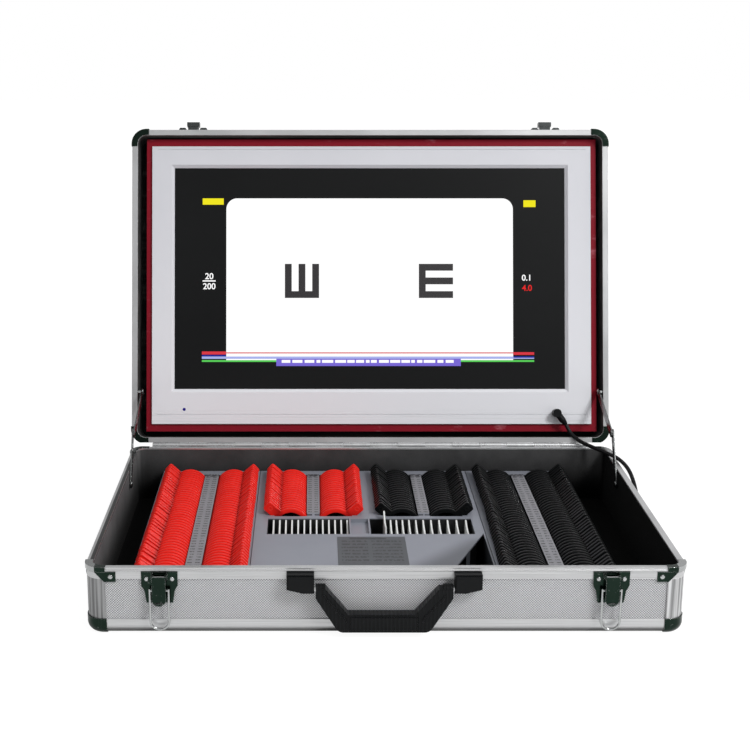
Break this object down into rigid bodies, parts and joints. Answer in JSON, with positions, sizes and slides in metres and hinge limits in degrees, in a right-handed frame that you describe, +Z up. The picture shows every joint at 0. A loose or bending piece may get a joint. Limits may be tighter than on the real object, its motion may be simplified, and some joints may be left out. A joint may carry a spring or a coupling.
{
  "type": "trial lens set",
  "caption": "Hinged aluminium carry case holding racks of rimmed trial lenses, with a flat screen for acuity charts fitted in the lid.",
  "frame": {"origin": "centre of the base's footprint, on its underside", "axes": "+X to the right as the user faces the screen, +Y from the front of the case to the hinge, +Z up"},
  "size_m": [0.5399, 0.4987, 0.4059],
  "materials": {
    "embossed_panel": "diamond embossed, satin",
    "board_stock": "black paper faced",
    "black_liner": "brushed black nap",
    "extrusion": "satin anodised",
    "dark_plating": "dark bright plating",
    "bright_plating": "bright plating",
    "hinge_steel": "zinc plated",
    "black_plastic": "semi-gloss moulding",
    "grey_tray": "matt vacuum-formed",
    "label_grey": "printed strip",
    "comb_white": "matt",
    "plate_grey": "printed plate",
    "rim_red": "semi-gloss",
    "rim_black": "semi-gloss",
    "lens_glass": "polished",
    "crimson_fabric": "satin cloth",
    "bezel_grey": "fine matt",
    "screen_black": "anti-glare display",
    "board_green": "solder mask",
    "cable_rubber": "smooth"
  },
  "bodies": {
    "base": {"base_wall_panels": "embossed_panel", "base_bottom": "board_stock", "base_lining": "black_liner", "base_rim_frame": "extrusion", "base_foot_frame": "extrusion", "base_corner_posts": "extrusion", "base_corner_caps": "dark_plating", "base_rim_brackets": "dark_plating", "base_rivets": "bright_plating", "hinge_leaf_base": "hinge_steel", "hinge_pin": "hinge_steel", "latch_plates": "dark_plating", "pivot_pins": "hinge_steel", "handle_brackets": "black_plastic"},
    "lid": {"hinge_leaf_lid": "hinge_steel", "lid_wall_panels": "embossed_panel", "lid_top_panel": "embossed_panel", "lid_lining": "black_liner", "lid_surround": "crimson_fabric", "lid_rim_frame": "extrusion", "lid_edge_frame": "extrusion", "lid_corner_posts": "extrusion", "lid_corner_caps": "dark_plating", "lid_rim_brackets": "dark_plating", "lid_catches": "bright_plating", "lid_rivets": "bright_plating", "screen_bezel": "bezel_grey", "screen_panel": "screen_black", "screen_housing": "black_plastic", "driver_board": "board_green", "power_socket": "black_plastic"},
    "plug": {"power_plug": "black_plastic", "power_cable": "cable_rubber"},
    "handle": {"handle": "black_plastic"},
    "lever_left": {"latch_lever_left": "dark_plating"},
    "lever_right": {"latch_lever_right": "dark_plating"},
    "bail_left": {"latch_bail_left": "bright_plating"},
    "bail_right": {"latch_bail_right": "bright_plating"},
    "stay_lower_left": {"stay_lower_left": "hinge_steel"},
    "stay_lower_right": {"stay_lower_right": "hinge_steel"},
    "stay_upper_left": {"stay_upper_left": "hinge_steel"},
    "stay_upper_right": {"stay_upper_right": "hinge_steel"},
    "rack_left": {"tray_left": "grey_tray", "label_strip_left": "label_grey", "rims_left": "rim_red", "glass_left": "lens_glass"},
    "rack_centre": {"tray_centre": "grey_tray", "label_strips_centre": "label_grey", "comb_dividers": "comb_white", "rating_plate": "plate_grey", "rims_centre_red": "rim_red", "rims_centre_black": "rim_black", "glass_centre_red": "lens_glass", "glass_centre_black": "lens_glass"},
    "rack_right": {"tray_right": "grey_tray", "label_strip_right": "label_grey", "rims_right": "rim_black", "glass_right": "lens_glass"},
    "loose_lens": {"loose_lens_rim": "rim_red", "loose_lens_glass": "lens_glass"}
  },
  "joints": [
    {"name": "lid_hinge", "type": "hinge", "parent": "base", "child": "lid", "pos_m": [0, 0.175, 0.0627], "axis": [-1, 0, 0], "range_deg": [-105.67, 0], "deforming": ["power_cable"]},
    {"name": "stay_lower_left_pivot", "type": "hinge", "parent": "base", "child": "stay_lower_left", "pos_m": [-0.2538, 0.091, 0.0467], "axis": [-1, 0, 0], "range_deg": [-111.3, 0]},
    {"name": "stay_upper_left_pivot", "type": "hinge", "parent": "lid", "child": "stay_upper_left", "pos_m": [-0.2522, 0.19546, 0.11824], "axis": [-1, 0, 0], "range_deg": [0, 115.45]},
    {"name": "stay_lower_right_pivot", "type": "hinge", "parent": "base", "child": "stay_lower_right", "pos_m": [0.2538, 0.091, 0.0467], "axis": [-1, 0, 0], "range_deg": [-111.3, 0]},
    {"name": "stay_upper_right_pivot", "type": "hinge", "parent": "lid", "child": "stay_upper_right", "pos_m": [0.2522, 0.19546, 0.11824], "axis": [-1, 0, 0], "range_deg": [0, 115.45]},
    {"name": "handle_swing", "type": "hinge", "parent": "base", "child": "handle", "pos_m": [-0.0019, -0.178, 0.0447], "axis": [-1, 0, 0], "range_deg": [0, 95]},
    {"name": "lever_left_pivot", "type": "hinge", "parent": "base", "child": "lever_left", "pos_m": [-0.1962, -0.1762, 0.0545], "axis": [1, 0, 0], "range_deg": [-100, 0]},
    {"name": "bail_left_pivot", "type": "hinge", "parent": "lever_left", "child": "bail_left", "pos_m": [-0.1962, -0.1772, 0.043], "axis": [-1, 0, 0], "range_deg": [0, 180]},
    {"name": "lever_right_pivot", "type": "hinge", "parent": "base", "child": "lever_right", "pos_m": [0.1946, -0.1762, 0.0545], "axis": [1, 0, 0], "range_deg": [-100, 0]},
    {"name": "bail_right_pivot", "type": "hinge", "parent": "lever_right", "child": "bail_right", "pos_m": [0.1946, -0.1772, 0.043], "axis": [-1, 0, 0], "range_deg": [0, 180]},
    {"name": "rack_left_lift", "type": "slide", "parent": "base", "child": "rack_left", "axis": [0, 0, 1], "range_m": [0, 0.064]},
    {"name": "rack_centre_lift", "type": "slide", "parent": "base", "child": "rack_centre", "axis": [0, 0, 1], "range_m": [0, 0.064]},
    {"name": "rack_right_lift", "type": "slide", "parent": "base", "child": "rack_right", "axis": [0, 0, 1], "range_m": [0, 0.064]},
    {"name": "loose_lens_lift", "type": "slide", "parent": "rack_centre", "child": "loose_lens", "axis": [0, 0, 1], "range_m": [0, 0.046]},
    {"name": "plug_pull", "type": "slide", "parent": "lid", "child": "plug", "axis": [0, -0.9628, 0.2701], "range_m": [0, 0.012], "deforming": ["power_cable"]}
  ],
  "couplings": [
    {"joint": "stay_lower_left_pivot", "follows": "lid_hinge", "ratio": 1.0514},
    {"joint": "stay_upper_left_pivot", "follows": "lid_hinge", "ratio": -1.0907},
    {"joint": "stay_lower_right_pivot", "follows": "lid_hinge", "ratio": 1.0514},
    {"joint": "stay_upper_right_pivot", "follows": "lid_hinge", "ratio": -1.0907}
  ]
}
